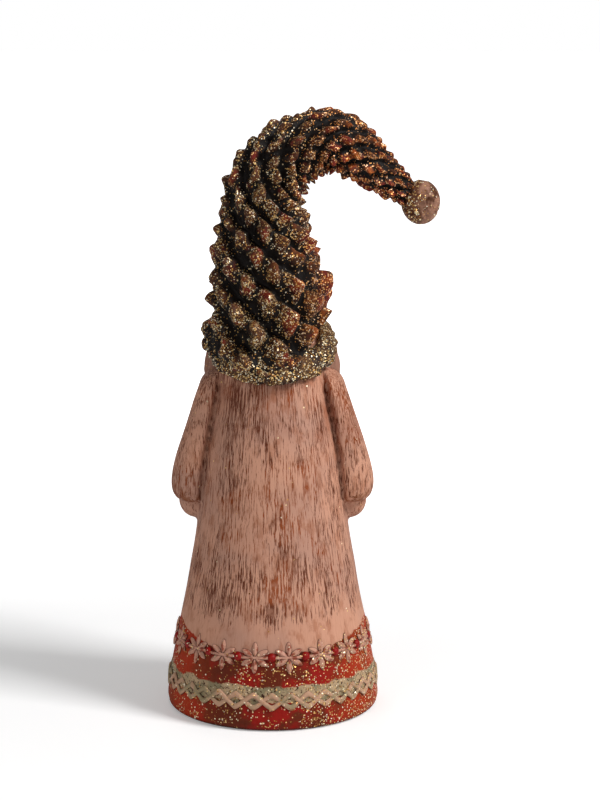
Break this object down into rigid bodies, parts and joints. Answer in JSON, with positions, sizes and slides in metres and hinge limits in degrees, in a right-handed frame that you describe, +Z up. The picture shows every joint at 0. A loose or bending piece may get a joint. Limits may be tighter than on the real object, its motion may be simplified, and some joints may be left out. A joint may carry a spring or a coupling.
{
  "type": "father frost figurine",
  "caption": "Painted cast father frost figurine in a long coat, with a beard, a snowflake and zigzag hem, and a tall pine-cone hat that bends over to a pompom.",
  "frame": {"origin": "centre of the flat base, on the surface it stands on", "axes": "+Z up along the coat's axis, -Y towards the face, the hat's tip leans over to -X"},
  "size_m": [0.105, 0.0838, 0.2327],
  "materials": {
    "painted_gypsum": "matte hand-painted gypsum with dry-brushed brown streaks, a red hem and gold glitter on the hat"
  },
  "bodies": {
    "root": {"figurine": "painted_gypsum"}
  },
  "joints": []
}
